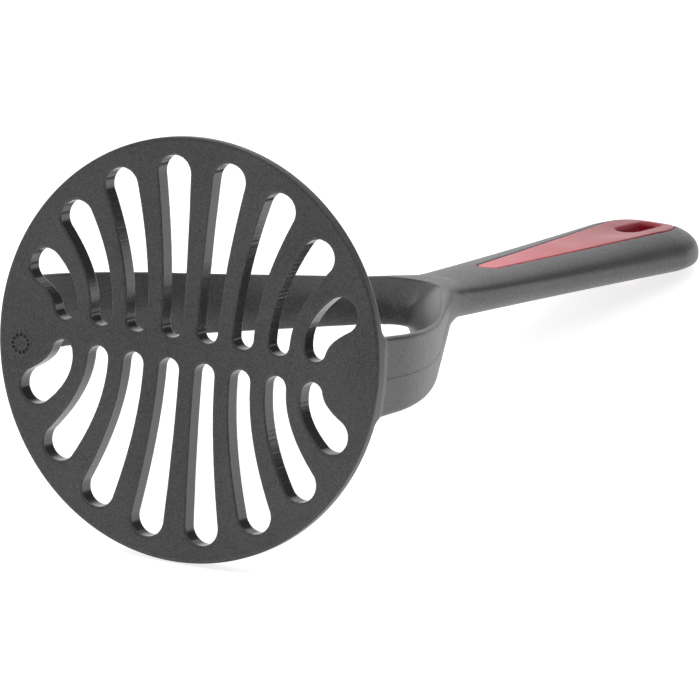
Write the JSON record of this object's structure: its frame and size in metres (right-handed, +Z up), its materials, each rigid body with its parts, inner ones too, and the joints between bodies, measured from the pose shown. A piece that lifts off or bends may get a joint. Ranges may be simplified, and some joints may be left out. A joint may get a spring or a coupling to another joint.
{
  "type": "potato masher",
  "caption": "Moulded potato masher: round slotted plate on an arched bow, with a flat oval handle and a soft inlay round its hang hole.",
  "frame": {"origin": "on the surface the masher lies on, under the middle of its bounding box; it lies at rest on the plate's rim and the handle's end", "axes": "+Y along the masher from the mashing plate to the handle's end, +Z up with the inlay on the upper side, +X across the plate"},
  "size_m": [0.0956, 0.2498, 0.0945],
  "materials": {
    "nylon": "fine moulded grain, dark grey, glass-filled",
    "soft_grip": "matt soft-touch, deep raspberry red"
  },
  "bodies": {
    "root": {"mashing_plate": "nylon", "leg_right": "nylon", "leg_left": "nylon", "yoke": "nylon", "handle": "nylon", "grip_inlay": "soft_grip"}
  },
  "joints": []
}
